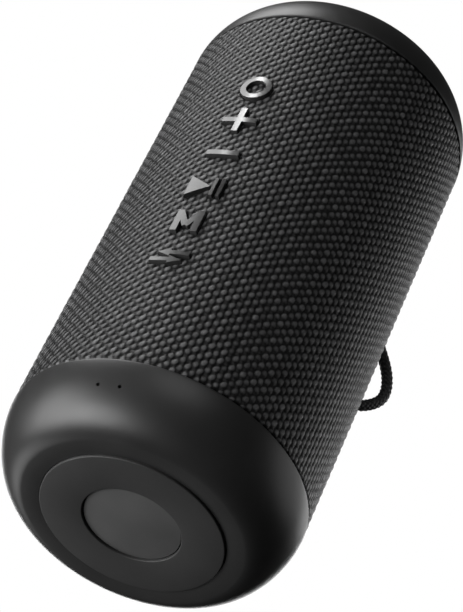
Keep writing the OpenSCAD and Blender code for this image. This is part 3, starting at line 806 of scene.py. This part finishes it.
def braid_height(around, along):
    """0 to 1 over a tubular braid. Each carrier passes over one and under the next; it is at 1 in the
    middle of a crossing and at 0.55 at the crossing's ends.
    """
    a = around * CORD_CARRIERS + along / CORD_PITCH
    b = around * CORD_CARRIERS - along / CORD_PITCH
    over = (np.floor(a) + np.floor(b)) % 2 == 0
    across = np.where(over, a, b) % 1 - 0.5
    forward = np.where(over, b, a) % 1 - 0.5
    crown = np.sqrt(np.clip(1 - (CARRIER_FALL * np.abs(across)) ** 2, 0, 1))
    return crown * (0.55 + 0.45 * np.cos(math.pi * forward))


def on_strap(out, height):
    """The point that far outside the body and that high, on the strap's side."""
    return STRAP_OUT * (BODY_R + out) + Vector((0, 0, height))


def make_strap():
    """The braided cord, through both eyelets, with each end a little way inside the body."""
    route, length = smooth_line(STRAP_ROUTE, CORD_RINGS)
    step = np.gradient(route, axis=0)
    step /= np.linalg.norm(step, axis=1)[:, None]
    rings = []
    for k, ((out, height), (d_out, d_up)) in enumerate(zip(route, step)):
        around = np.arange(CORD_SIDES) / CORD_SIDES
        radius = CORD_D / 2 - CORD_RELIEF * (1 - braid_height(around, length * k / (len(route) - 1)))
        up_part = radius * np.cos(2 * math.pi * around)
        side_part = radius * np.sin(2 * math.pi * around)
        centre = np.array(on_strap(out, height))
        across = np.array(STRAP_OUT * -d_up) + np.array((0, 0, d_out))
        rings.append(centre + np.outer(up_part, across) + np.outer(side_part, np.array(STRAP_SIDE)))
    mesh = grid_mesh("strap_braid", np.vstack(rings), quads(len(rings), CORD_SIDES, closed=True))
    work = bmesh.new()
    work.from_mesh(mesh)
    bmesh.ops.holes_fill(work, edges=[e for e in work.edges if e.is_boundary], sides=0)
    bmesh.ops.recalc_face_normals(work, faces=work.faces)
    work.to_mesh(mesh)
    work.free()
    mesh.shade_smooth()
    piece = new_piece("strap_braid", "speaker", mesh)
    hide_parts("strap_loop")
    dress(piece, "cord_braid")
    line = smooth_line(STRAP_ROUTE, CORD_PATH_POINTS)[0]


# ---------- materials of the other nodes ----------

def metal(name, base, roughness):
    """Fine-turned metal with faint level streaks."""
    material, tree, shader = node_material(name, base, roughness, Metallic=1.0)
    streaks = noise(tree, object_coordinates(tree, (1, 1, 12)), 900, detail=3)
    dark = [c * 0.8 for c in base]
    tree.links.new(ramp(tree, streaks, [(0.35, dark), (0.65, base)]), shader.inputs["Base Color"])
    tree.links.new(spread(tree, streaks, roughness * 0.8, roughness * 1.25), shader.inputs["Roughness"])
    add_bump(tree, shader, streaks, 0.01 * MM, 0.4)
    return material


MATERIALS.update({
    "cord_braid": woven("cord_braid", (0.028, 0.028, 0.029), 0.45, Sheen_Weight=0.1, Sheen_Roughness=0.5),
    "eyelet_metal": metal("eyelet_metal", (0.55, 0.55, 0.56), 0.38),
    "steel": metal("steel", (0.42, 0.42, 0.43), 0.3),
    "ferrite": moulded("ferrite", (0.05, 0.05, 0.055), 0.55, grain=0.05 * MM, grain_scale=1800),
    "grille_plastic": moulded("grille_plastic", (0.006, 0.006, 0.006), 0.7),
    "port_plastic": moulded("port_plastic", (0.015, 0.015, 0.015), 0.45),
    "cover_rubber": moulded("cover_rubber", (0.022, 0.022, 0.022), 0.65, grain=0.03 * MM),
    "seal_rubber": moulded("seal_rubber", (0.02, 0.02, 0.02), 0.75),
    "core_plastic": moulded("core_plastic", (0.02, 0.02, 0.021), 0.55),
    "white_plastic": moulded("white_plastic", (0.6, 0.6, 0.58), 0.45, blotch=0.05),
    "component": moulded("component", (0.03, 0.03, 0.032), 0.4),
    "board": moulded("board", (0.02, 0.11, 0.05), 0.35, blotch=0.3),
    "ribbon": moulded("ribbon", (0.5, 0.28, 0.09), 0.35, blotch=0.2),
    "cell_wrap": moulded("cell_wrap", (0.05, 0.13, 0.3), 0.3, blotch=0.1),
    "spider_cloth": woven("spider_cloth", (0.35, 0.24, 0.12), 0.8),
    "cone_paper": woven("cone_paper", (0.03, 0.03, 0.032), 0.75),
})


def dress_nodes():
    """Gives each CAD node the material that the record names for it."""
    slots = {part["node"]: part["material_slot"] for part in frame["record"]["subparts"]}
    for name, node in NODES.items():
        dress(node, slots[name])


# The width of each part's rounding, in mm
EDGES = {
    "power_key": 0.3, "plus_key": 0.3, "minus_key": 0.3,
    "play_key": 0.22, "mode_key": 0.22, "link_key": 0.22,
    "port_bezel": 0.35, "port_cover": 0.3, "strap_eyelets": 0.3,
}


def round_edges():
    """A small rounding on the parts that show."""
    for name, width in EDGES.items():
        rounding = NODES[name].modifiers.new("rounding", "BEVEL")
        rounding.width = width * MM
        rounding.segments = 3
        rounding.limit_method = "ANGLE"
        rounding.angle_limit = SHARP_FROM
        rounding.harden_normals = True


# ---------- light and backdrop ----------

ROOM_COLOUR = (0.02, 0.02, 0.02, 1)
BACKDROP_COLOUR = (1, 1, 1, 1)


def make_world():
    """White for the camera and a dim grey room for the light."""
    world = bpy.data.worlds.new("studio")
    world.use_nodes = True
    bpy.context.scene.world = world
    tree = world.node_tree
    shade = tree.nodes["Background"]
    shade.inputs["Color"].default_value = ROOM_COLOUR
    seen = add_node(tree, "ShaderNodeBackground")
    seen.inputs["Color"].default_value = BACKDROP_COLOUR
    path = tree.nodes.new("ShaderNodeLightPath")
    mix = tree.nodes.new("ShaderNodeMixShader")
    tree.links.new(path.outputs["Is Camera Ray"], mix.inputs["Fac"])
    tree.links.new(shade.outputs[0], mix.inputs[1])
    tree.links.new(seen.outputs[0], mix.inputs[2])
    tree.links.new(mix.outputs[0], tree.nodes["World Output"].inputs["Surface"])


def area_light(name, round_from_front, up, distance, size, power):
    """A round soft box that faces the middle of the speaker."""
    data = bpy.data.lights.new(name, "AREA")
    data.shape = "DISK"
    data.size = size
    data.energy = power
    lamp = bpy.data.objects.new(name, data)
    middle = Vector((0, 0, HEIGHT / 2))
    turn, rise = math.radians(round_from_front), math.radians(up)
    away = Vector((math.sin(turn) * math.cos(rise), -math.cos(turn) * math.cos(rise), math.sin(rise)))
    lamp.location = middle + away * distance
    lamp.rotation_euler = (-away).to_track_quat("-Z", "Y").to_euler()
    bpy.context.scene.collection.objects.link(lamp)


FLOOR_Z = -1.2
FLOOR_RADIUS = 40
FLOOR_SIDES = 96
FLOOR_GLOW = 0.85


def make_floor():
    """A plain pale floor. It lies below the camera, which looks up at the base from 0.42 m under it."""
    work = bmesh.new()
    bmesh.ops.create_circle(work, cap_ends=True, segments=FLOOR_SIDES, radius=FLOOR_RADIUS)
    mesh = bpy.data.meshes.new("floor")
    work.to_mesh(mesh)
    work.free()
    floor = bpy.data.objects.new("floor", mesh)
    floor.location.z = FLOOR_Z
    bpy.context.scene.collection.objects.link(floor)
    floor.visible_diffuse = False
    floor.visible_glossy = False
    material, _, shader = node_material("floor_paint", (0.8, 0.8, 0.8), 0.9)
    shader.inputs["Emission Color"].default_value = (1, 1, 1, 1)
    shader.inputs["Emission Strength"].default_value = FLOOR_GLOW
    mesh.materials.append(material)


LIGHTS = (
    # name, degrees round from the front towards +X, degrees up, distance and size in metres, watts
    ("key", -60, -20, 1.0, 0.8, 9.0),
    ("low", -35, -40, 1.0, 0.6, 6.0),
    ("high", -50, 50, 1.0, 0.6, 5.0),
    ("fill", 20, 15, 1.0, 0.6, 1.5),
    ("edge", -120, -30, 1.0, 0.5, 1.5),
    ("rim", 160, 35, 1.2, 0.6, 2.0),
    ("back", -150, 30, 1.0, 0.8, 7.0),
    ("right", 120, 20, 1.0, 0.8, 1.5),
    ("glint", -30, 45, 1.0, 0.07, 0.4),
)


# ---------- the scene ----------

make_world()
make_floor()
for light in LIGHTS:
    area_light(*light)
make_strap()
make_caps()
make_sleeve()
make_power_patch()
dress_nodes()
round_edges()

bpy.context.scene.view_settings.view_transform = "Standard"
